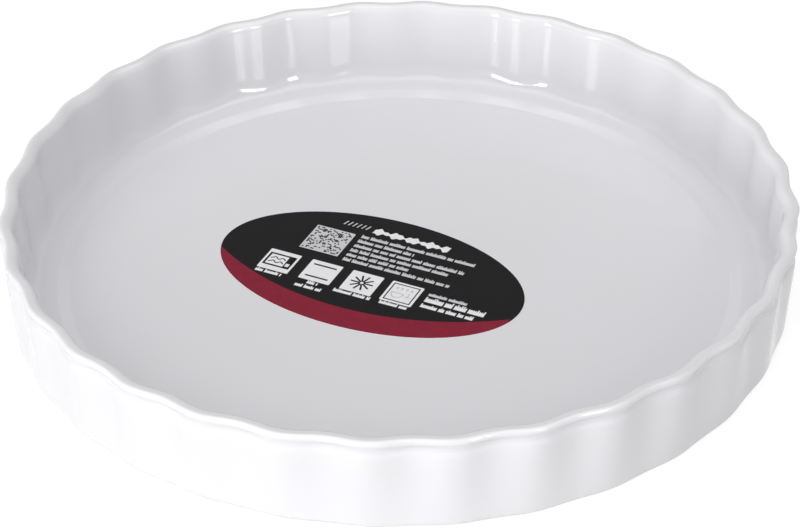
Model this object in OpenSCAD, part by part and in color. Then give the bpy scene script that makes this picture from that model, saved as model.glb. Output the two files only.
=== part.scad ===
// Fluted ceramic tart dish with the oval label that is stuck on its floor.
//
// The dish is one piece of glazed ceramic. A low, nearly upright wall is pressed
// into wide, shallow flutes. A rounded rim stands on it over a slight neck. Inside,
// the wall meets the floor in a tall hollow fillet, where the flutes fade out. The
// floor is thickest over the ring foot and sinks a little in a soft step inside it.
//
// Origin: centre of the ring foot on the table. +Z is up.
// A lobe of the fluted wall lies on +X. Sizes are in millimetres.

/* [Rim] */
// Overall width of the dish, from lobe to lobe across the rim
rim_d = 298.5; // [220:0.5:340]
// Height of the dish, from the table to the top of the rim
rim_h = 38; // [34:0.5:60]
// Thickness of the rim
rim_t = 5.7; // [5.4:0.1:8]
// Radius of the rim's outer edge
rim_outer_round = 1.4; // [1:0.1:1.8]
// Radius of the rim's inner edge, which is rounded more
rim_inner_round = 3.5; // [2:0.1:3.6]
// How far the rim stands out past the wall under it
rim_lip = 0.4; // [0.2:0.1:1]

/* [Neck] */
// How far the neck between the rim and the wall is set back
neck_in = 0.8; // [0.3:0.1:1]
// Drop from the top of the rim to the neck
neck_drop = 4; // [3.4:0.1:4.5]
// Drop from the top of the rim to the shoulder of the wall
shoulder_drop = 8; // [6:0.1:9]

/* [Wall] */
// Thickness of the wall where it meets the inside fillet
wall_t = 5.6; // [4:0.1:8]
// How far the outside of the wall leans in between the shoulder and the foot
wall_lean = 1.1; // [0.5:0.1:8]

/* [Flutes] */
// Number of flutes round the wall
flutes = 32; // [20:1:36]
// Height of a flute's lobe over the middle line of the rim
flute_rim = 0.9; // [0.4:0.05:2]
// The same height on the outside of the wall
flute_wall = 1.2; // [0.4:0.05:2]
// The same height at the foot, where the flutes are shallower
flute_foot = 0.75; // [0.1:0.05:1]

/* [Floor] */
// Thickness of the floor in the middle
floor_t = 3; // [2.5:0.1:6]
// Rise of the soft step from the middle of the floor outwards
step_rise = 0.9; // [0.4:0.1:2]
// Width of the soft step over the foot's inner edge
step_w = 8; // [5:0.5:10]
// Width of the hollow fillet between the floor and the wall
fillet_w = 5; // [3:0.5:7]
// Height of the hollow fillet
fillet_h = 11; // [6:0.5:13]

/* [Foot] */
// Width of the ring foot's face
foot_w = 16.2; // [15:0.1:30]
// Depth of the recess inside the ring foot
foot_recess = 0.4; // [0.3:0.1:2]
// Radius of the rounded edge between the wall and the foot
foot_round = 2; // [1:0.1:3]

/* [Label] */
// Length of the oval label
label_l = 124; // [60:1:140]
// Width of the oval label
label_w = 72.5; // [40:0.5:90]
// Thickness of the label
label_t = 0.2; // [0.15:0.05:0.5]
// Place of the label's middle along X
label_x = -11.4; // [-20:0.1:20]
// Place of the label's middle along Y
label_y = -1.8; // [-20:0.1:20]
// Turn of the label's length from +X
label_turn = -32.4; // [-180:0.1:180]

/* [Hidden] */

// Steps round the dish, eight to a flute so that each lobe and hollow has a point
steps_per_flute = 8;
steps = flutes * steps_per_flute;

// Outer face of the rim, of the wall's shoulder and of the wall at the foot
rim_r = rim_d / 2 - flute_rim;
shoulder_r = rim_r - rim_lip;
wall_foot_r = shoulder_r - wall_lean;

// Heights of the neck and of the shoulder
neck_z = rim_h - neck_drop;
shoulder_z = rim_h - shoulder_drop;

// Levels of the floor in the middle and over the ring foot
floor_z = foot_recess + floor_t;
border_z = floor_z + step_rise;

// Centre of the fillet's arc, as a distance from the axis and a height
fillet_z = border_z + fillet_h;
fillet_mid_r = outer_r(fillet_z) - wall_t - fillet_w;

// Edges of the ring foot
foot_out_r = wall_foot_r - foot_round;
foot_in_r = foot_out_r - foot_w;

// Distance of the wall's outer face from the axis at height z, flutes left out
function outer_r(z) =
    wall_foot_r + wall_lean * (z - foot_round) / (shoulder_z - foot_round);

// Each station of the section is [distance from the axis, height, flute height]

// Rounded edge from the foot's face up to the wall
function foot_edge() = [
    for (a = [-90:45:0])
        [foot_out_r + foot_round * cos(a), foot_round * (1 + sin(a)), flute_foot]
];

// Rounded shoulder of the wall and the neck over it
function wall_outside() = [
    [shoulder_r, shoulder_z, flute_wall],
    [shoulder_r - 0.15 * neck_in, shoulder_z + 0.35 * (neck_z - shoulder_z), flute_wall],
    [shoulder_r - neck_in, shoulder_z + 0.65 * (neck_z - shoulder_z), flute_wall],
    [shoulder_r - neck_in, neck_z, flute_wall]
];

// Outer edge of the rim, from its underside to its flat top
function rim_outside() = [
    for (a = [-45:45:90])
        [rim_r - rim_outer_round * (1 - cos(a)), rim_h - rim_outer_round * (1 - sin(a)),
         flute_rim]
];

// Inner edge of the rim, from its flat top down to the wall
function rim_inside() = [
    for (a = [90:30:180])
        [rim_r - rim_t + rim_inner_round * (1 + cos(a)),
         rim_h - rim_inner_round * (1 - sin(a)), flute_rim]
];

// Hollow fillet from the inside of the wall down to the floor, where the flutes fade out
function inside_fillet() = [
    for (a = [0:22.5:90])
        [fillet_mid_r + fillet_w * cos(a), fillet_z - fillet_h * sin(a),
         flute_rim * (1 - sin(a))]
];

// Soft step of the floor, from the middle outwards, as points [distance from the axis,
// height]. It rises as half a wave does, half of its width on each side of the foot's
// inner edge.
function soft_step() = [
    for (a = [0:30:180])
        [foot_in_r - step_w / 2 * (1 - a / 90), floor_z + step_rise * (1 - cos(a)) / 2]
];

// Ring of points at one station, waved by the flutes
function ring(s) = [
    for (j = [0:steps - 1])
        let (a = 360 * j / steps, r = s[0] + s[2] * cos(flutes * a))
            [r * cos(a), r * sin(a), s[1]]
];

// Closed skin through a list of stations that runs up the outside and down the inside
module fluted_shell(stations) {
    rows = len(stations);
    low = rows * steps;
    high = low + 1;
    points = concat(
        [for (s = stations) each ring(s)],
        [[0, 0, stations[0][1]], [0, 0, stations[rows - 1][1]]]
    );
    sides = [
        for (i = [0:rows - 2], j = [0:steps - 1])
            let (k = (j + 1) % steps, a = i * steps, b = a + steps)
                each [[a + j, b + j, b + k], [a + j, b + k, a + k]]
    ];
    under = [for (j = [0:steps - 1]) [low, j, (j + 1) % steps]];
    over = [
        for (j = [0:steps - 1])
            let (a = (rows - 1) * steps) [high, a + (j + 1) % steps, a + j]
    ];
    polyhedron(points = points, faces = concat(sides, under, over), convexity = 6);
}

// Shallow recess with a chamfered edge, which leaves the ring foot
module foot_hollow() {
    rotate_extrude($fn = 180)
        polygon([
            [0, -1],
            [foot_in_r, -1],
            [foot_in_r, 0],
            [foot_in_r - foot_recess / 2, foot_recess],
            [0, foot_recess]
        ]);
}

// What is taken out of the floor's upper side, so that its middle is sunk
module sunk_middle() {
    rotate_extrude($fn = 180)
        polygon(concat(
            [[0, floor_z]],
            soft_step(),
            [[foot_in_r + step_w / 2, border_z + 1], [0, border_z + 1]]
        ));
}

module dish() {
    color("#F1F1F2")
        difference() {
            fluted_shell(
                concat(foot_edge(), wall_outside(), rim_outside(), rim_inside(),
                       inside_fillet())
            );
            sunk_middle();
            foot_hollow();
        }
}

// Oval label lying flat on the floor of the dish
module label() {
    color("#26262B")
        translate([label_x, label_y, floor_z])
            rotate(label_turn)
                linear_extrude(label_t)
                    scale([label_l / label_w, 1])
                        circle(d = label_w, $fn = 128);
}

dish();
label();
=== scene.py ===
# Fluted ceramic tart dish with the printed oval label that is stuck on its floor.
#
# The dish is one glazed surface: half a section, carried round the axis and waved by
# the flutes. The label keeps its flat solid and gets its print as thin layers of ink.
# Origin: middle of the foot on the table, +Z up, one lobe of the wall on +X. Metres.

import bpy
import numpy as np
from bpy.props import FloatProperty, FloatVectorProperty, IntProperty, PointerProperty
from mathutils import Matrix, Vector


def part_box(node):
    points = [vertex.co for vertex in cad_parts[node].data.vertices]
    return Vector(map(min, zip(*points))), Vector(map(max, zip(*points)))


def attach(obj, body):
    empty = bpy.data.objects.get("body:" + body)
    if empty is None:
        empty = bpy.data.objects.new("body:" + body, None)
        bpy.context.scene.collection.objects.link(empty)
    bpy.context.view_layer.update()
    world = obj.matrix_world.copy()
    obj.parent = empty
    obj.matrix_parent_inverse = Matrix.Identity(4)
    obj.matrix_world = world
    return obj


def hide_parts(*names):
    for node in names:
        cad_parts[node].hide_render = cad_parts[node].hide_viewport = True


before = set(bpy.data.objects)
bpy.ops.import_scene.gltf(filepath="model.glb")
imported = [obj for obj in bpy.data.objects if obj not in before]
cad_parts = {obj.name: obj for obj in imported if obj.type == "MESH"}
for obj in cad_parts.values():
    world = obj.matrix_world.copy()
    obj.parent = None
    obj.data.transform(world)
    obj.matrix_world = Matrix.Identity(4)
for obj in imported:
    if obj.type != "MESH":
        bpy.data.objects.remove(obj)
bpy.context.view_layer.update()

bl_info = {
    "name": "Fluted tart dish",
    "version": (1, 0, 0),
    "blender": (4, 5, 0),
    "location": "3D View > Sidebar > Tart dish",
    "description": "Glazed ceramic tart dish with a fluted wall and a printed oval label",
    "category": "Object",
}

MM = 0.001
DISH_LOW, DISH_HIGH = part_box("dish")
LABEL_LOW, LABEL_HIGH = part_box("label")
BODY = "root"


def linear_colour(hex_colour):
    """Linear red, green and blue of an sRGB colour written as #RRGGBB."""
    srgb = np.array([int(hex_colour[k:k + 2], 16) for k in (1, 3, 5)]) / 255
    linear = np.where(srgb <= 0.04045, srgb / 12.92, ((srgb + 0.055) / 1.055) ** 2.4)
    return tuple(float(c) for c in linear)


def rgba(colour):
    """A colour with full alpha, as a node socket wants it."""
    return (*colour, 1.0)


def length(name, description, default):
    """Property for a length in metres."""
    return FloatProperty(
        name=name, description=description, default=default, precision=5,
        subtype="DISTANCE", unit="LENGTH",
    )


def number(name, description, default):
    """Property for a plain number, such as the level of a light."""
    return FloatProperty(name=name, description=description, default=default)


def angle(name, description, degrees):
    """Property for an angle, given in degrees."""
    return FloatProperty(
        name=name, description=description, default=np.radians(degrees),
        subtype="ANGLE", unit="ROTATION",
    )


def colour(name, description, hex_colour):
    """Property for a surface colour, given as sRGB hex."""
    return FloatVectorProperty(
        name=name, description=description, default=linear_colour(hex_colour),
        size=3, min=0.0, max=1.0, subtype="COLOR",
    )


class DishSizes(bpy.types.PropertyGroup):
    """Sizes of the dish. Its width and height come from the frame."""
    rim_width: length(
        "Rim width", "Across the rim, from lobe to lobe", DISH_HIGH[0] - DISH_LOW[0])
    rim_height: length("Rim height", "From the table to the top of the rim", DISH_HIGH[2])
    rim_thickness: length("Rim thickness", "Thickness of the rim", 5.7 * MM)
    rim_outer_round: length("Rim outer rounding", "Radius of its outer edge", 1.4 * MM)
    rim_inner_round: length("Rim inner rounding", "Radius of its inner edge", 3.5 * MM)
    rim_lip: length("Rim lip", "How far the rim stands out past the wall", 0.4 * MM)
    neck_depth: length("Neck depth", "How far the neck under the rim is set back", 0.8 * MM)
    neck_drop: length("Neck drop", "From the top of the rim down to the neck", 4.0 * MM)
    shoulder_drop: length("Shoulder drop", "From the top of the rim to the wall", 8.0 * MM)
    wall_thickness: length("Wall thickness", "Where it meets the inside fillet", 6.2 * MM)
    wall_lean: length("Wall lean", "How far the wall leans in towards the foot", 0.8 * MM)
    flutes: IntProperty(name="Flutes", description="Number of flutes", default=32, min=3)
    flute_rise: length("Flute height", "Height of a lobe over the rim's middle line", 0.9 * MM)
    flute_wall: length("Flute height on the wall", "The same on the wall", 1.2 * MM)
    flute_foot: length("Flute height at the foot", "The same at the foot", 0.4 * MM)
    flute_inside: length("Flute height inside", "The same on the inside wall", 0.82 * MM)
    floor_thickness: length("Floor thickness", "Thickness in the middle", 3.0 * MM)
    fillet_width: length("Fillet width", "Between the wall and the floor", 5.5 * MM)
    fillet_height: length("Fillet height", "Between the wall and the floor", 9.5 * MM)
    step_width: length("Step width", "Soft step near the foot's inner edge", 4.8 * MM)
    step_setback: length("Step setback", "From the foot's inner edge inwards", 1.2 * MM)
    step_rise: length("Step rise", "How far it rises from the middle outwards", 1.6 * MM)
    foot_width: length("Foot width", "Width of the ring foot's face", 16.2 * MM)
    foot_recess: length("Foot recess", "Depth of the hollow inside the foot", 0.4 * MM)
    foot_round: length("Foot rounding", "Radius between the wall and the foot", 2.0 * MM)
    edge_softness: length(
        "Edge softness", "How far the glaze softens the corners it covers", 0.35 * MM)
    unevenness: length(
        "Unevenness", "How far the fired dish strays inwards from true round", 0.25 * MM)
    rows: IntProperty(name="Rows", description="Rings of points in the section", default=126)
    columns_per_flute: IntProperty(
        name="Columns per flute", description="Points across each flute", default=24)


class LabelSizes(bpy.types.PropertyGroup):
    """Sizes of the oval label. Its place and level come from the frame."""
    long_width: length("Length", "Length of the oval", 124.0 * MM)
    short_width: length("Width", "Width of the oval", 72.5 * MM)
    turn: angle("Turn", "Turn of the oval's length from +X", -32.4)
    ink_layer: length("Ink layer", "Step between one layer of ink and the next", 0.03 * MM)
    seed: IntProperty(name="Seed", description="Seed of the made-up print", default=11)


class Finishes(bpy.types.PropertyGroup):
    """Colours of the surfaces."""
    glaze: colour("Glaze", "White glaze", "#ECEBEF")
    glaze_thin: colour("Thin glaze", "Where it runs thin over an edge", "#EEEDED")
    glaze_pool: colour("Pooled glaze", "Where it gathers in a hollow", "#E5E5EB")
    biscuit: colour("Biscuit", "Bare fired clay on the foot", "#D9D2C6")
    paper: colour("Paper", "Cut edge of the label", "#EDEBE8")
    black_ink: colour("Black ink", "Ground of the label", "#131112")
    red_ink: colour("Red ink", "Band along the label's lower edge", "#8D2238")
    white_ink: colour("White ink", "Pictograms and lines", "#F8F7F9")
    grey_ink: colour("Grey ink", "Fine lines of the print", "#DAD9DC")


class StudioSettings(bpy.types.PropertyGroup):
    """Camera, lamps, table and surroundings."""
    view_turn: angle("View turn", "Turn of the view about the dish, 0 looks along +Y", -6.76)
    view_height: angle("View height", "Height of the camera over the table", 35.0)
    view_roll: angle("View roll", "Turn of the picture", -0.61)
    view_distance: length("View distance", "From the camera to what it aims at", 951.7 * MM)
    aim_x: length("Aim X", "Where the camera aims on the table", 1.1 * MM)
    aim_y: length("Aim Y", "Where the camera aims on the table", 7.3 * MM)
    lens: number("Lens", "Focal length in millimetres, for film 36 mm wide", 110.97)
    lamp_distance: length("Lamp distance", "From the dish to each softbox", 1.6)
    front_glow: number("Front glow", "Soft light from the front", 0.50)
    top_glow: number("Top glow", "Soft light from above", 0.88)
    glow_turn: angle("Glow turn", "Where the front glow comes from, 0 is over the camera",
                     -15.0)
    glow_height: angle("Glow height", "Height of the middle of the front glow", 35.0)
    back_glow: number("Back glow", "Soft light from the backdrop", 0.22)
    back_glow_turn: angle("Back glow turn", "Where it comes from, 180 is behind the dish",
                          -165.0)
    back_glow_height: angle("Back glow height", "Height of its middle", 20.0)
    backdrop: number("Backdrop", "Level of the white backdrop", 1.0)
    backdrop_top: angle("Backdrop top", "Height of the white backdrop behind the dish", 33.0)
    ceiling: number("Ceiling", "Level of what is above the backdrop", 0.45)
    overhead: number("Overhead", "How much brighter the glaze sees what is overhead", 2.2)
    table_radius: length("Table radius", "Radius of the table top", 3.0)
    table_light: colour("Table", "Colour of the light that the table spreads", "#D4D4D4")
    table_shade: number("Table shade", "How strongly the camera sees shade on the table", 0.44)
    table_white: number("Table white", "White that the camera sees on the table besides", 0.72)


# Lamps: name, turn from the camera's side of the dish (positive to its right), height over
# the table, width and height as seen from the dish, all in degrees, and level. The
# softboxes and the strip only give light that spreads. The glints are the bright middles of
# the softboxes, and only give the highlights on the glaze.
SOFTBOXES = (
    ("left_softbox", -44.5, 34.0, 12.0, 30.0, 4.3),
    ("right_softbox", 39.0, 30.0, 11.5, 22.0, 4.5),
    ("low_strip", -35.0, 4.0, 60.0, 7.0, 10.8),
    ("left_glint", -43.2, 26.0, 11.0, 15.0, 17.0),
    ("right_glint", 36.8, 26.0, 12.5, 15.0, 17.0),
)

# Soft edges in the surroundings, as sines of the height: half of the width of the
# backdrop's upper edge, and where the part overhead begins and where it is in full
BACKDROP_EDGE = 0.06
OVERHEAD_EDGE = (0.76, 0.88)


def settings():
    """The settings kept on the scene."""
    return bpy.context.scene.tart_dish


# Meshes

def new_piece(name, points, faces, materials, face_materials=None, smooth=True):
    """Object at the origin from an array of points and a list of face arrays."""
    mesh = bpy.data.meshes.new(name)
    mesh.from_pydata(points, [], [face for block in faces for face in block.tolist()])
    for material in materials:
        mesh.materials.append(material)
    mesh.polygons.foreach_set("use_smooth", np.full(len(mesh.polygons), smooth))
    if face_materials is not None:
        mesh.polygons.foreach_set("material_index", face_materials)
    mesh.update()
    piece = bpy.data.objects.new(name, mesh)
    bpy.context.scene.collection.objects.link(piece)
    return piece


def arc(middle, radius, start, stop, count):
    """Points at middle + radius x (cos, sin), from one angle in degrees to the other."""
    turn = np.radians(np.linspace(start, stop, count))
    return middle[0] + radius * np.cos(turn), middle[1] + radius * np.sin(turn)


def section_corners(size):
    """Half section of the dish as points of radius, height and flute height.

    It runs from the middle of the underside over the ring foot, up the outside and its
    neck, round the rim, down the inside wall and its fillet, and down a soft step to the
    sunken middle of the floor. The edges are arcs of circles, and the fillet is a quarter
    of an oval, in which the flutes fade as the square of a cosine.
    """
    edge_points, lip_points, inner_points = 13, 28, 25
    top = size.rim_height
    rim = size.rim_width / 2 - size.flute_rise
    wall_top = rim - size.rim_lip
    wall_foot = wall_top - size.wall_lean
    shoulder = top - size.shoulder_drop
    foot_out = wall_foot - size.foot_round
    foot_in = foot_out - size.foot_width
    ground = size.foot_recess + size.floor_thickness
    fillet_top = ground + size.step_rise + size.fillet_height
    lean = (fillet_top - size.foot_round) / (shoulder - size.foot_round)
    fillet = wall_foot + size.wall_lean * lean - size.wall_thickness - size.fillet_width
    step_middle = foot_in - size.step_setback

    foot = np.array([
        [0, size.foot_recess, 0],
        [foot_in - size.foot_recess / 2, size.foot_recess, 0],
        [foot_in, 0, 0],
    ])
    edge = arc((foot_out, size.foot_round), size.foot_round, -90, 0, edge_points)
    edge = np.column_stack([*edge, np.full(edge_points, size.flute_foot)])

    # From the shoulder up to the neck, as shares of the neck's depth and of the way up
    neck = top - size.neck_drop
    set_back = np.array([0, 0.15, 1, 1])
    way_up = np.array([0, 0.35, 0.65, 1])
    wall = np.column_stack([
        wall_top - set_back * size.neck_depth,
        shoulder + way_up * (neck - shoulder),
        np.full(len(way_up), size.flute_wall),
    ])

    outer, inner = size.rim_outer_round, size.rim_inner_round
    lip = arc((rim - outer, top - outer), outer, -45, 90, lip_points)
    lip = np.column_stack([*lip, np.full(lip_points, size.flute_rise)])
    inside = arc((rim - size.rim_thickness + inner, top - inner), inner, 90, 180, inner_points)
    inside = np.column_stack([
        *inside, np.linspace(size.flute_rise, size.flute_inside, inner_points)])
    turn = np.radians(np.linspace(0, 90, inner_points))
    hollow = np.column_stack([
        fillet + size.fillet_width * np.cos(turn),
        fillet_top - size.fillet_height * np.sin(turn),
        size.flute_inside * np.cos(turn) ** 2,
    ])
    floor = np.array([
        [step_middle + size.step_width / 2, ground + size.step_rise, 0],
        [step_middle - size.step_width / 2, ground, 0],
        [0, ground, 0],
    ])
    return np.vstack([foot, edge, wall, lip, inside, hollow, floor])


def along(points, step):
    """Points on a line of points, spaced evenly along it, about a step apart."""
    gaps = np.hypot(*np.diff(points[:, :2], axis=0).T)
    reach = np.concatenate([[0], np.cumsum(gaps)])
    places = np.linspace(0, reach[-1], int(reach[-1] / step))
    return np.column_stack([np.interp(places, reach, column) for column in points.T])


def soften(points, width, step):
    """The line of points after a bell-shaped average of that width, its ends kept.

    The bell is exp(-(distance / width) squared / 2), cut off three widths out.
    """
    reach = int(np.ceil(3 * width / step))
    bell = np.exp(-0.5 * (np.arange(-reach, reach + 1) * step / width) ** 2)
    bell /= bell.sum()
    padded = np.pad(points, ((reach, reach), (0, 0)), mode="edge")
    soft = np.column_stack([np.convolve(column, bell, "valid") for column in padded.T])
    soft[0], soft[-1] = points[0], points[-1]
    return soft


def dish_section(size):
    """Rows of the section: radius, height, flute height and how the glaze lies.

    The corners are softened as glaze softens them. Rows are spaced by length and by bend,
    8 mm for as much as 8 degrees, so that the rim, neck, fillet and foot have most of
    them. The glaze value is 0.5 - 0.5 x tanh(bend x run), with the bend averaged over the
    glaze's reach: 0.5 on flat stretches, less over outward bends, where it runs thin, and
    more in hollows.
    """
    step, gap, gap_bend = 0.1 * MM, 8 * MM, np.radians(8)
    glaze_reach, glaze_run = 1.2 * MM, 2.5 * MM
    fine = soften(along(section_corners(size), step), size.edge_softness, step)
    heading = np.unwrap(np.arctan2(np.gradient(fine[:, 1]), np.gradient(fine[:, 0])))
    bend = np.gradient(heading) / step
    shares = step / gap + np.abs(np.diff(heading)) / gap_bend
    share = np.concatenate([[0], np.cumsum(shares)])
    places = np.interp(np.linspace(0, share[-1], size.rows), share, np.arange(len(fine)))
    glaze = 0.5 - 0.5 * np.tanh(soften(bend[:, None], glaze_reach, step) * glaze_run)
    table = np.column_stack([fine, glaze])
    index = np.arange(len(fine))
    return np.column_stack([np.interp(places, index, column) for column in table.T])


def build_dish(size, materials):
    """The dish, closed to a point in the middle of its underside and of its floor.

    Radius = section radius + flute height x swell x cos(flutes x angle + drift)
    - unevenness x share of the height x stray. A fired dish isn't quite true: its flutes
    swell and drift a little from one to the next, and its wall and rim stray inwards, and
    sink by a part of that. Swell, drift and stray are slow waves round the dish, sums of
    share x cos or sin (whole number x angle + phase). All of it stays inside the true form.
    """
    sink, sink_lag, bare_below = 0.4, 0.2, 0.02 * MM
    rows = dish_section(size)
    count = size.flutes * size.columns_per_flute
    turn = np.arange(count) * 2 * np.pi / count
    swell = 0.92 + 0.05 * np.cos(3 * turn + 0.8) + 0.03 * np.cos(7 * turn + 2.1)
    drift = 0.10 * np.sin(5 * turn + 0.4) + 0.07 * np.sin(9 * turn + 1.9)
    wave = swell * np.cos(size.flutes * turn + drift)
    strays = 0.5 - 0.3 * np.cos(2 * turn + 1.0) - 0.2 * np.cos(5 * turn + 2.6)
    height_share = rows[:, 1:2] / size.rim_height
    radius = rows[:, :1] + rows[:, 2:3] * wave - size.unevenness * height_share * strays
    sunk = sink * size.unevenness * height_share * np.roll(strays, int(sink_lag * count))
    height = rows[:, 1:2] - sunk
    inner = slice(1, -1)
    ring_points = np.stack([
        radius[inner] * np.cos(turn),
        radius[inner] * np.sin(turn),
        height[inner],
    ], axis=-1).reshape(-1, 3)
    poles = np.array([[0, 0, rows[0, 1]], [0, 0, rows[-1, 1]]])
    points = np.vstack([ring_points, poles])

    rings = len(rows) - 2
    here = np.arange(count)
    after = (here + 1) % count
    start = np.arange(rings - 1)[:, None] * count
    quads = np.stack([start + here, start + after, start + count + after,
                      start + count + here], axis=-1).reshape(-1, 4)
    under_pole, floor_pole = len(points) - 2, len(points) - 1
    under = np.column_stack([np.full(count, under_pole), after, here])
    last = (rings - 1) * count
    over = np.column_stack([np.full(count, floor_pole), last + here, last + after])

    on_foot = rows[inner, 1] < bare_below
    bare_rows = on_foot[:-1] & on_foot[1:]
    face_materials = np.concatenate([
        np.repeat(bare_rows, count), np.zeros(2 * count, bool)]).astype(np.int32)
    piece = new_piece("fluted_dish", points, [quads, under, over], materials, face_materials)
    glaze = piece.data.attributes.new("glaze_depth", "FLOAT", "POINT")
    glaze.data.foreach_set("value", np.concatenate([
        np.repeat(rows[inner, 3], count), [0.5, 0.5]]).astype(np.float32))
    return piece


# Print on the label, drawn in its own plane: u along the oval, v across it, millimetres.
# Each mark is an upper and a lower line of as many points.

def ribbon(upper, lower):
    """A mark between two lines of points, which run the same way."""
    return np.stack([np.asarray(upper, float), np.asarray(lower, float)])


def bar(u, v, wide, high, turn=0.0, about=None):
    """Rectangle with its middle at (u, v), turned by radians about a point."""
    corners = np.array([[[-1, 1], [1, 1]], [[-1, -1], [1, -1]]]) * (wide / 2, high / 2)
    corners = corners + (u, v)
    about = np.array((u, v) if about is None else about)
    spin = np.array([[np.cos(turn), np.sin(turn)], [-np.sin(turn), np.cos(turn)]])
    return (corners - about) @ spin + about


def spot(u, v, half_wide, half_high):
    """Oval spot: half width x cos and half height x sin of an angle.

    The angle stops short of 180 and 0 degrees, so that the spot's ends are small edges.
    """
    turn = np.radians(np.linspace(172, 8, 12))
    across = half_wide * np.cos(turn)
    up = half_high * np.sin(turn)
    return ribbon(np.column_stack([u + across, v + up]), np.column_stack([u + across, v - up]))


def rounded_square(u, v, side, corner):
    """Square whose corners are quarters of a circle of that radius."""
    turn = np.radians(np.linspace(180, 90, 6))
    reach = side / 2 - corner
    left = np.column_stack([-reach + corner * np.cos(turn), reach + corner * np.sin(turn)])
    right = left[::-1] * (-1, 1)
    upper = np.vstack([left, right])
    return ribbon(upper + (u, v), upper * (1, -1) + (u, v))


def stroke(line, width):
    """Mark of even width: the line plus and minus half of the width along its normal."""
    line = np.asarray(line, float)
    ahead = np.gradient(line, axis=0)
    side = np.column_stack([-ahead[:, 1], ahead[:, 0]]) / np.hypot(*ahead.T)[:, None]
    return ribbon(line + side * width / 2, line - side * width / 2)


def frame_marks(u, v, wide, high, line):
    """Outline of a rectangle, as four bars."""
    return [
        bar(u, v + (high - line) / 2, wide, line),
        bar(u, v - (high - line) / 2, wide, line),
        bar(u - (wide - line) / 2, v, line, high - 2 * line),
        bar(u + (wide - line) / 2, v, line, high - 2 * line),
    ]


def tick_line(rng, u0, u1, v, high):
    """A line of small upright ticks in groups of 3 to 10, with one tick in three taller.

    Low bars join the ticks of a group, so that it reads as one from a distance.
    """
    pitch, thick, taller = 0.86, 0.56, 0.28
    join_height, join_drop, gap = 0.72, 0.05, 0.55
    marks, u = [], u0
    while u < u1 - pitch:
        group = min(int(rng.integers(3, 11)), int((u1 - u) / pitch))
        for k in range(group):
            extra = rng.choice([0.0, 0.0, taller]) * high
            marks.append(bar(u + thick / 2, v + extra / 2, thick, high + extra))
            if k < group - 1:
                marks.append(bar(u + (thick + pitch) / 2, v - join_drop * high,
                                 pitch - thick, join_height * high))
            u += pitch
        u += gap * pitch
    return marks


def twist(u0, u1, v, high):
    """Pattern of a twisted cord, between two waved lines.

    Its half height swells as a sine from bead to bead, and each of its edges has a finer
    sine on it, the lower one a little behind.
    """
    bead, strand, ripple, lag = 7.4, 3.1, 0.4, 2.2
    u = np.linspace(u0, u1, 140)
    swell = high / 2 * (0.68 + 0.32 * np.sin(2 * np.pi * (u - u0) / bead))
    wave = 2 * np.pi * u / strand
    upper = np.column_stack([u, v + swell + ripple * np.sin(wave)])
    lower = np.column_stack([u - ripple, v - swell + ripple * np.sin(wave + lag)])
    return ribbon(upper, lower)


# Grounds of the four pictograms: side, corner, and their middles
SYMBOL, SYMBOL_CORNER = 13.1, 0.5
SYMBOLS_U = (-35.1, -17.3, 0.1, 16.9)
SYMBOLS_V = -7.7

# Speckled square: middle and side, corner, cells along a side, how much of the side they
# fill, how much of its cell a speckle fills, and the share of cells with a speckle
SPECKLED, SPECKLED_CORNER = (-24.5, 12.5, 16.5), 0.3
CELLS, CELLS_FILL, SPECKLE_FILL, SPECKLE_SHARE = 21, 0.92, 0.9, 0.33

# Red band: middle and radius of its upper edge, an arc, how far it goes to each side, and
# how far it stays inside the label's cut edge
BAND_ARC = (-1.8, 84.2, 109.3)
BAND_REACH = 60.3
BAND_MARGIN = 0.05

# Twist: start and end, its place across the oval and its height. Then the slanted strokes
# before it: their feet, their lower and upper ends, lean and width.
TWIST = (-10.6, 21.5, 25.9, 4.0)
SLANTS_U, SLANTS_V = np.linspace(-23.8, -14.2, 6), (25.3, 28.0)
SLANT_LEAN, SLANT_WIDTH = 0.9, 0.5

# Lines of ticks: start, end, place across the oval, height of a tick
WHITE_LINES = (
    (-41.2, -29.2, -15.9, 1.6), (-19.2, -14.2, -15.7, 1.6), (-22.9, -11.4, -18.7, 1.6),
    (-7.9, 8.1, -15.9, 1.6), (11.2, 23.2, -15.7, 1.6),
    (26.4, 51.4, -7.5, 2.6), (26.4, 48.4, -11.5, 1.9),
)
GREY_LINES = (
    (-13.6, 35.8, 20.3, 1.65), (-13.6, 11.0, 17.0, 1.65), (-13.6, 33.4, 13.7, 1.65),
    (-13.6, 28.7, 10.4, 1.65), (-13.6, 13.1, 7.1, 1.65), (-13.6, 32.0, 3.8, 1.65),
    (26.4, 42.4, -4.0, 1.5),
)


def white_marks(rng):
    """Grounds of the pictograms and of the speckled square, the twist and bold lines."""
    marks = [rounded_square(u, SYMBOLS_V, SYMBOL, SYMBOL_CORNER) for u in SYMBOLS_U]
    marks += [rounded_square(*SPECKLED, SPECKLED_CORNER), twist(*TWIST)]
    for line in WHITE_LINES:
        marks += tick_line(rng, *line)
    return marks


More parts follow.
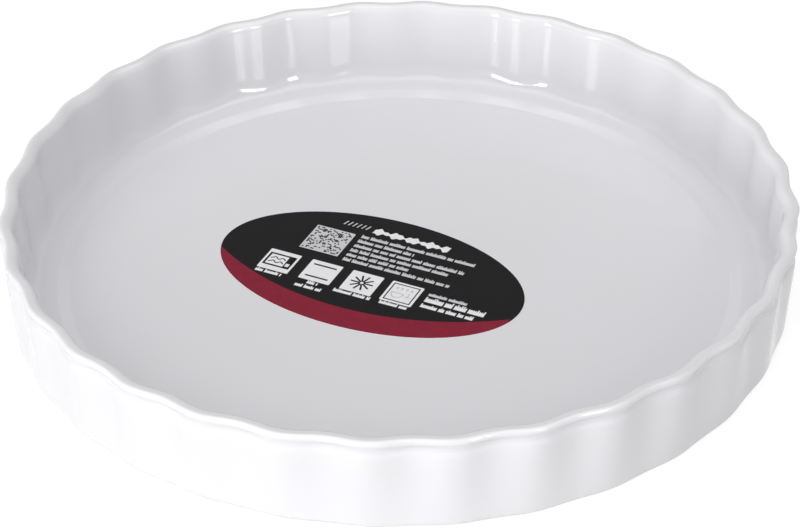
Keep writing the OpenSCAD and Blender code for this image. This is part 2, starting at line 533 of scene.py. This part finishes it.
def grey_marks(rng):
    """Slanted strokes, the speckled square's tone, fine lines and the fourth pictogram."""
    low, high = SLANTS_V
    marks = [stroke([[u, low], [u + SLANT_LEAN, high]], SLANT_WIDTH) for u in SLANTS_U]
    marks.append(rounded_square(*SPECKLED, SPECKLED_CORNER))
    for line in GREY_LINES:
        marks += tick_line(rng, *line)

    # Cup, half an oval under a straight rim, beside a glass's foot and stem, under drops
    u, v = SYMBOLS_U[3], SYMBOLS_V
    half_wide, deep, wall, line = 2.4, 3.0, 0.6, 0.5
    turn = np.radians(np.linspace(180, 360, 13))
    bowl = np.column_stack([u - 1.6 + half_wide * np.cos(turn), v - 0.2 + deep * np.sin(turn)])
    marks += [stroke(bowl, wall), bar(u - 1.6, v - 0.2, 5.2, line)]
    marks += [bar(u + 2.9, v - 1.6, 2.2, line), bar(u + 2.9, v - 0.2, line, 2.6)]
    marks += [spot(u - 3.0 + 2.0 * k, v + 2.8, 0.5, 0.8) for k in range(4)]
    return marks


def black_marks(rng):
    """The other three pictograms, the fourth one's frame, and the speckles."""
    v = SYMBOLS_V

    # Microwave: case, keys, door handle and two waves in its window
    u = SYMBOLS_U[0]
    wave_height, wave_length, wave_line = 0.55, 3.2, 0.45
    marks = frame_marks(u, v + 0.2, 11.2, 8.2, 0.8)
    marks += [bar(u + 3.9, v + 1.5, 2.4, 4.0), bar(u + 3.0, v - 1.6, 0.5, 2.6),
              bar(u + 3.9, v - 3.0, 2.4, 0.8)]
    screen = np.linspace(-4.2, 2.2, 25)
    wave = wave_height * np.sin(screen * 2 * np.pi / wave_length)
    marks += [stroke(np.column_stack([u + screen, v + rise + wave]), wave_line)
              for rise in (1.4, -1.0)]

    # Oven: bars of heat above and below
    u = SYMBOLS_U[1]
    marks += [bar(u, v + rise, 9.6, 0.75) for rise in (3.9, -3.9)]

    # Snow crystal: arms round a bare middle, by their own middle, length and width
    u = SYMBOLS_U[2]
    arms, arm_middle, arm_long, arm_wide = 10, 2.7, 3.9, 0.7
    marks += [bar(u + arm_middle, v, arm_long, arm_wide, 2 * np.pi * k / arms, (u, v))
              for k in range(arms)]

    # Frame of the cup, and the speckles
    marks += frame_marks(SYMBOLS_U[3], v, 11.0, 11.0, 0.45)
    middle_u, middle_v, side = SPECKLED
    cell = side * CELLS_FILL / CELLS
    filled = SPECKLE_FILL * cell
    for row, column in zip(*np.nonzero(rng.random((CELLS, CELLS)) < SPECKLE_SHARE)):
        across, up = (np.array([column, row]) - (CELLS - 1) / 2) * cell
        marks.append(bar(middle_u + across, middle_v + up, filled, filled))
    return marks


def band_mark(size):
    """Red band: the part of the oval that lies below a shallow arc."""
    half_long = size.long_width / 2 / MM - BAND_MARGIN
    half_short = size.short_width / 2 / MM - BAND_MARGIN
    u = np.linspace(-BAND_REACH, BAND_REACH, 121)
    oval = -half_short * np.sqrt(1 - (u / half_long) ** 2)
    top = BAND_ARC[1] - np.sqrt(BAND_ARC[2] ** 2 - (u - BAND_ARC[0]) ** 2)
    inside = top > oval + BAND_MARGIN
    return ribbon(np.column_stack([u, top])[inside], np.column_stack([u, oval])[inside])


def ink(name, marks, size, layer, material):
    """Layer of ink: each mark is a thin closed plate, rooted in the layer under it.

    The plate has a top and a bottom strip between the mark's two lines, a strip along
    each line, and a face at each end. It starts half a layer under the last layer's top.
    """
    low = LABEL_HIGH[2] + (layer - 1.5) * size.ink_layer
    high = LABEL_HIGH[2] + layer * size.ink_layer
    middle = (Vector(LABEL_LOW) + Vector(LABEL_HIGH)) / 2
    spin = np.array([[np.cos(size.turn), np.sin(size.turn)],
                     [-np.sin(size.turn), np.cos(size.turn)]])
    points, faces, base = [], [], 0
    for mark in marks:
        count = mark.shape[1]
        flat = mark.reshape(-1, 2) * MM @ spin + (middle.x, middle.y)
        points += [np.column_stack([flat, np.full(2 * count, z)]) for z in (high, low)]
        k = np.arange(count - 1)
        a, b, c, d = (base + n * count + k for n in range(4))
        faces += [
            np.stack([a, b, b + 1, a + 1], axis=-1),
            np.stack([c, c + 1, d + 1, d], axis=-1),
            np.stack([a, a + 1, c + 1, c], axis=-1),
            np.stack([b, d, d + 1, b + 1], axis=-1),
            np.array([[a[0], c[0], d[0], b[0]],
                      [a[-1] + 1, b[-1] + 1, d[-1] + 1, c[-1] + 1]]),
        ]
        base += 4 * count
    piece = new_piece(name, np.vstack(points), faces, [material], smooth=False)
    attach(piece, BODY)


# Materials

def add_node(tree, kind, inputs=None, **options):
    """Adds a node with its options. An input gets a value, or is linked to an output.

    Inputs go by name, or by number where several have the same name. On Mix the share is
    0, the two numbers are 2 and 3, the two colours 6 and 7, and the colour that comes out
    is output 2. Elsewhere they count from 0.
    """
    node = tree.nodes.new("ShaderNode" + kind)
    for name, value in options.items():
        setattr(node, name, value)
    for name, value in (inputs or {}).items():
        if isinstance(value, bpy.types.NodeSocket):
            tree.links.new(value, node.inputs[name])
        else:
            node.inputs[name].default_value = value
    return node


def new_material(name, noises=()):
    """Material with an empty tree, the tree, and one output for each noise.

    A noise is given by the size of its lumps in millimetres and its detail. It lies on
    the object's own coordinates, so it stays where it is on the piece.
    """
    material = bpy.data.materials.new(name)
    material.use_nodes = True
    tree = material.node_tree
    tree.nodes.clear()
    outputs = []
    for lump_mm, detail in noises:
        place = add_node(tree, "TexCoord").outputs["Object"]
        outputs.append(add_node(tree, "TexNoise", {
            "Vector": place, "Scale": 1 / (lump_mm * MM), "Detail": detail}).outputs[0])
    return material, tree, outputs


# Most of a noise's values lie in this range, which is stretched to the range wanted
NOISE_RANGE = {"From Min": 0.3, "From Max": 0.7}


def dip_glazed_porcelain(look):
    """White porcelain, slip-cast, dipped in glaze and fired glossy.

    The glaze is hard and mirror-smooth, with slow waves 16 mm across and 0.03 mm deep
    where it ran, and a faint peel 2.2 mm across and 0.0012 mm deep. It is a touch warmer
    where it runs thin over edges and cooler where it pools, in clouds 45 mm across.
    """
    material, tree, (cloud, shine, waves, peel) = new_material(
        "dip_glazed_porcelain", ((45.0, 2.0), (30.0, 2.0), (16.0, 1.0), (2.2, 1.0)))
    depth = add_node(tree, "Attribute", attribute_name="glaze_depth").outputs["Fac"]
    body = add_node(tree, "Mix", {
        0: depth, 6: rgba(look.glaze_thin), 7: rgba(look.glaze_pool),
    }, data_type="RGBA").outputs[2]
    cloud = add_node(tree, "MapRange", {
        "Value": cloud, **NOISE_RANGE, "To Min": 0.35, "To Max": 0.75}).outputs[0]
    tint = add_node(tree, "Mix", {0: cloud, 6: body, 7: rgba(look.glaze)},
                    data_type="RGBA").outputs[2]
    shine = add_node(tree, "MapRange", {
        "Value": shine, **NOISE_RANGE, "To Min": 0.045, "To Max": 0.075}).outputs[0]
    waved = add_node(tree, "Bump", {
        "Height": waves, "Distance": 0.03 * MM, "Strength": 1.0}).outputs[0]
    peeled = add_node(tree, "Bump", {
        "Height": peel, "Distance": 0.0012 * MM, "Strength": 1.0, "Normal": waved,
    }).outputs[0]
    glaze = add_node(tree, "BsdfPrincipled", {
        "Base Color": tint, "IOR": 1.5, "Roughness": shine, "Normal": peeled})
    add_node(tree, "OutputMaterial", {"Surface": glaze.outputs[0]})
    return material


def bare_biscuit(look):
    """Unglazed fired clay of the foot, wiped clean before firing: matt, fine and dry.

    Its grain is 0.6 mm across and 0.03 mm deep, with paler smudges 9 mm across.
    """
    material, tree, (grain, smudge) = new_material("bare_biscuit", ((0.6, 3.0), (9.0, 2.0)))
    smudge = add_node(tree, "MapRange", {
        "Value": smudge, **NOISE_RANGE, "To Min": 0.0, "To Max": 0.35}).outputs[0]
    tint = add_node(tree, "Mix", {
        0: smudge, 6: rgba(look.biscuit), 7: rgba(look.glaze_thin),
    }, data_type="RGBA").outputs[2]
    rough = add_node(tree, "Bump", {
        "Height": grain, "Distance": 0.03 * MM, "Strength": 1.0}).outputs[0]
    clay = add_node(tree, "BsdfPrincipled", {
        "Base Color": tint, "IOR": 1.5, "Roughness": 0.82, "Normal": rough})
    add_node(tree, "OutputMaterial", {"Surface": clay.outputs[0]})
    return material


def coated_label_paper(look):
    """White coated paper, printed solid near-black and cut: the cut edge stays white.

    The coat gives a satin face with the faint tooth of the paper under it, 0.9 mm across
    and 0.004 mm deep. What faces up is printed.
    """
    material, tree, (tooth,) = new_material("coated_label_paper", ((0.9, 2.0),))
    facing = add_node(tree, "NewGeometry").outputs["Normal"]
    up = add_node(tree, "SeparateXYZ", {0: facing}).outputs["Z"]
    printed = add_node(tree, "Math", {0: up, 1: 0.5}, operation="GREATER_THAN").outputs[0]
    tint = add_node(tree, "Mix", {
        0: printed, 6: rgba(look.paper), 7: rgba(look.black_ink),
    }, data_type="RGBA").outputs[2]
    toothed = add_node(tree, "Bump", {
        "Height": tooth, "Distance": 0.004 * MM, "Strength": 1.0}).outputs[0]
    paper = add_node(tree, "BsdfPrincipled", {
        "Base Color": tint, "IOR": 1.45, "Specular IOR Level": 0.1, "Roughness": 0.42,
        "Normal": toothed})
    add_node(tree, "OutputMaterial", {"Surface": paper.outputs[0]})
    return material


def printed_ink(name, ink_colour, mottle):
    """Offset ink on coated paper: satin, its colour darker by up to the mottle's share.

    The mottle's patches are 2.5 mm across, and the paper's tooth shows through the ink.
    """
    material, tree, (patches, tooth) = new_material(name, ((2.5, 2.0), (0.9, 2.0)))
    darker = tuple(c * (1 - mottle) for c in ink_colour)
    patches = add_node(tree, "MapRange", {
        "Value": patches, **NOISE_RANGE, "To Min": 0.0, "To Max": 1.0}).outputs[0]
    tint = add_node(tree, "Mix", {0: patches, 6: rgba(darker), 7: rgba(ink_colour)},
                    data_type="RGBA").outputs[2]
    toothed = add_node(tree, "Bump", {
        "Height": tooth, "Distance": 0.003 * MM, "Strength": 1.0}).outputs[0]
    film = add_node(tree, "BsdfPrincipled", {
        "Base Color": tint, "IOR": 1.45, "Specular IOR Level": 0.1, "Roughness": 0.45,
        "Normal": toothed})
    add_node(tree, "OutputMaterial", {"Surface": film.outputs[0]})
    return material


# Operators

class TARTDISH_OT_dish(bpy.types.Operator):
    """Builds the fluted, glazed dish with its bare foot"""
    bl_idname = "tart_dish.dish"
    bl_label = "Build the dish"

    def execute(self, context):
        look = settings().finishes
        materials = [dip_glazed_porcelain(look), bare_biscuit(look)]
        piece = build_dish(settings().dish, materials)
        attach(piece, BODY)
        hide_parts("dish")
        return {"FINISHED"}


class TARTDISH_OT_label(bpy.types.Operator):
    """Gives the label's sheet its paper and lays its print on it"""
    bl_idname = "tart_dish.label"
    bl_label = "Print the label"

    def execute(self, context):
        size, look = settings().label, settings().finishes
        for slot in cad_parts["label"].material_slots:
            slot.material = coated_label_paper(look)
        rng = np.random.default_rng(size.seed)
        layers = (
            ("label_red_band", [band_mark(size)], 1,
             printed_ink("printed_red_ink", look.red_ink, mottle=0.14)),
            ("label_white_print", white_marks(rng), 1,
             printed_ink("printed_white_ink", look.white_ink, mottle=0.05)),
            ("label_grey_print", grey_marks(rng), 2,
             printed_ink("printed_grey_ink", look.grey_ink, mottle=0.08)),
            ("label_black_print", black_marks(rng), 3,
             printed_ink("printed_black_ink", look.black_ink, mottle=0.1)),
        )
        for name, marks, layer, material in layers:
            ink(name, marks, size, layer, material)
        return {"FINISHED"}


class TARTDISH_OT_stage(bpy.types.Operator):
    """Sets up the table, the camera, the softboxes and the surroundings"""
    bl_idname = "tart_dish.stage"
    bl_label = "Set up the studio"

    def execute(self, context):
        studio = settings().studio
        place_camera(studio)
        lay_table(studio)
        hang_softboxes(studio)
        light_surroundings(studio)
        context.scene.view_settings.view_transform = "Standard"
        return {"FINISHED"}


# Studio

FILM_WIDTH = 36.0                  # in millimetres, as the lens is


def direction(turn, height):
    """Unit vector away from the dish: turn 0 is -Y, and it grows towards +X."""
    level = np.cos(height)
    return Vector((np.sin(turn) * level, -np.cos(turn) * level, np.sin(height)))


def facing_matrix(place, towards, roll=0.0):
    """Matrix at a place that looks along a direction, level but for its roll."""
    back = -Vector(towards).normalized()
    right = Vector((0, 0, 1)).cross(back).normalized()
    up = back.cross(right)
    turned_right = right * np.cos(roll) + up * np.sin(roll)
    turned_up = up * np.cos(roll) - right * np.sin(roll)
    axes = Matrix((turned_right, turned_up, back)).transposed()
    return Matrix.Translation(place) @ axes.to_4x4()


def place_camera(studio):
    """Camera at the photograph's angle, a pinhole with no shift and no blur."""
    data = bpy.data.cameras.new("camera")
    data.lens, data.sensor_width, data.sensor_fit = studio.lens, FILM_WIDTH, "HORIZONTAL"
    data.clip_start, data.clip_end = 0.01, 50.0
    camera = bpy.data.objects.new("camera", data)
    bpy.context.scene.collection.objects.link(camera)
    away = direction(studio.view_turn, studio.view_height)
    aim = Vector((studio.aim_x, studio.aim_y, 0.0))
    camera.matrix_world = facing_matrix(aim + away * studio.view_distance, -away,
                                        studio.view_roll)
    bpy.context.scene.camera = camera


def seen_directly(tree):
    """1 for camera, glossy and transmission rays, 0 for the light that spreads."""
    path = add_node(tree, "LightPath")
    total = path.outputs["Is Camera Ray"]
    for name in ("Is Glossy Ray", "Is Transmission Ray"):
        total = add_node(tree, "Math", {0: total, 1: path.outputs[name]},
                         operation="MAXIMUM").outputs[0]
    return total


def lay_table(studio):
    """Round white table top, one face under the foot: radius x (cos, sin).

    It spreads a light grey. The camera and the glaze see it as shade plus a plain white.
    """
    corners = 96
    turn = np.arange(corners) * 2 * np.pi / corners
    edge = np.column_stack([studio.table_radius * np.cos(turn),
                            studio.table_radius * np.sin(turn), np.zeros(corners)])
    material, tree, _ = new_material("white_table")
    spread = add_node(tree, "BsdfDiffuse", {"Color": rgba(studio.table_light)})
    shade = add_node(tree, "BsdfDiffuse", {"Color": rgba([studio.table_shade] * 3)})
    white = add_node(tree, "Emission", {"Strength": studio.table_white})
    seen = add_node(tree, "AddShader", {0: shade.outputs[0], 1: white.outputs[0]})
    mixed = add_node(tree, "MixShader", {
        0: seen_directly(tree), 1: spread.outputs[0], 2: seen.outputs[0]})
    add_node(tree, "OutputMaterial", {"Surface": mixed.outputs[0]})
    new_piece("table_top", edge, [np.arange(corners)[None]], [material],
                       smooth=False)


def hang_softboxes(studio):
    """Lamps round the dish, each of the size and level that SOFTBOXES gives.

    A lamp's power is its level x pi x its area, so that a larger one isn't dimmer.
    """
    for name, turn, height, wide, high, level in SOFTBOXES:
        lamp = bpy.data.lights.new(name, "AREA")
        lamp.shape = "RECTANGLE"
        lamp.size = 2 * studio.lamp_distance * np.tan(np.radians(wide / 2))
        lamp.size_y = 2 * studio.lamp_distance * np.tan(np.radians(high / 2))
        lamp.energy = level * np.pi * lamp.size * lamp.size_y
        away = direction(studio.view_turn + np.radians(turn), np.radians(height))
        softbox = bpy.data.objects.new(name, lamp)
        softbox.matrix_world = facing_matrix(away * studio.lamp_distance, -away)
        softbox.visible_camera = False
        softbox.visible_diffuse = not name.endswith("glint")
        softbox.visible_glossy = not softbox.visible_diffuse
        bpy.context.scene.collection.objects.link(softbox)


def light_surroundings(studio):
    """World, which the camera and the glaze see otherwise than the light that spreads.

    They see a white backdrop up to a height, a dimmer ceiling over it, and a bright part
    overhead. What spreads comes from three glows: each gives its level x the square of
    the cosine from its middle.
    """
    world = bpy.data.worlds.new("surroundings")
    world.use_nodes = True
    tree = world.node_tree
    tree.nodes.clear()
    place = add_node(tree, "TexCoord").outputs["Generated"]
    up = add_node(tree, "SeparateXYZ", {0: place}).outputs["Z"]
    top = np.sin(studio.backdrop_top)
    backdrop = add_node(tree, "MapRange", {
        "Value": up, "From Min": top - BACKDROP_EDGE, "From Max": top + BACKDROP_EDGE,
        "To Min": studio.backdrop, "To Max": studio.ceiling,
    }, interpolation_type="SMOOTHSTEP").outputs[0]
    overhead = add_node(tree, "MapRange", {
        "Value": up, "From Min": OVERHEAD_EDGE[0], "From Max": OVERHEAD_EDGE[1],
        "To Min": 0.0, "To Max": studio.overhead,
    }, interpolation_type="SMOOTHSTEP").outputs[0]
    seen = add_node(tree, "Math", {0: backdrop, 1: overhead}, operation="ADD").outputs[0]
    glows = (
        (studio.glow_turn, studio.glow_height, studio.front_glow),
        (0.0, np.pi / 2, studio.top_glow),
        (studio.back_glow_turn, studio.back_glow_height, studio.back_glow),
    )
    soft = 0.0
    for turn, height, level in glows:
        middle = direction(studio.view_turn + turn, height)
        share = add_node(tree, "VectorMath", {0: place, 1: middle},
                         operation="DOT_PRODUCT").outputs["Value"]
        for operation, other in (("MAXIMUM", 0.0), ("POWER", 2.0)):
            share = add_node(tree, "Math", {0: share, 1: other},
                             operation=operation).outputs[0]
        soft = add_node(tree, "Math", {0: share, 1: level, 2: soft},
                        operation="MULTIPLY_ADD").outputs[0]
    strength = add_node(tree, "Mix", {0: seen_directly(tree), 2: soft, 3: seen},
                        data_type="FLOAT").outputs[0]
    light = add_node(tree, "Background", {"Color": (1, 1, 1, 1), "Strength": strength})
    add_node(tree, "OutputWorld", {"Surface": light.outputs[0]})
    bpy.context.scene.world = world


# Add-on

class TartDishSettings(bpy.types.PropertyGroup):
    """Everything that a user would change"""
    dish: PointerProperty(type=DishSizes)
    label: PointerProperty(type=LabelSizes)
    finishes: PointerProperty(type=Finishes)
    studio: PointerProperty(type=StudioSettings)


class TARTDISH_PT_panel(bpy.types.Panel):
    """Sidebar panel with the sizes, the colours and the steps"""
    bl_label = "Tart dish"
    bl_idname = "TARTDISH_PT_panel"
    bl_space_type = "VIEW_3D"
    bl_region_type = "UI"
    bl_category = "Tart dish"

    def draw(self, context):
        kept = context.scene.tart_dish
        for operator in (TARTDISH_OT_dish, TARTDISH_OT_label, TARTDISH_OT_stage):
            self.layout.operator(operator.bl_idname)
        for title, group in (("Dish", kept.dish), ("Label", kept.label),
                             ("Finishes", kept.finishes), ("Studio", kept.studio)):
            box = self.layout.box()
            box.label(text=title)
            for name in group.__annotations__:
                box.prop(group, name)


CLASSES = (DishSizes, LabelSizes, Finishes, StudioSettings, TartDishSettings,
           TARTDISH_OT_dish, TARTDISH_OT_label, TARTDISH_OT_stage, TARTDISH_PT_panel)


def register():
    for cls in CLASSES:
        bpy.utils.register_class(cls)
    bpy.types.Scene.tart_dish = PointerProperty(type=TartDishSettings)


def unregister():
    del bpy.types.Scene.tart_dish
    for cls in reversed(CLASSES):
        bpy.utils.unregister_class(cls)


def main():
    """Builds everything."""
    register()
    bpy.ops.tart_dish.stage()
    bpy.ops.tart_dish.dish()
    bpy.ops.tart_dish.label()


if __name__ == "__main__":
    main()
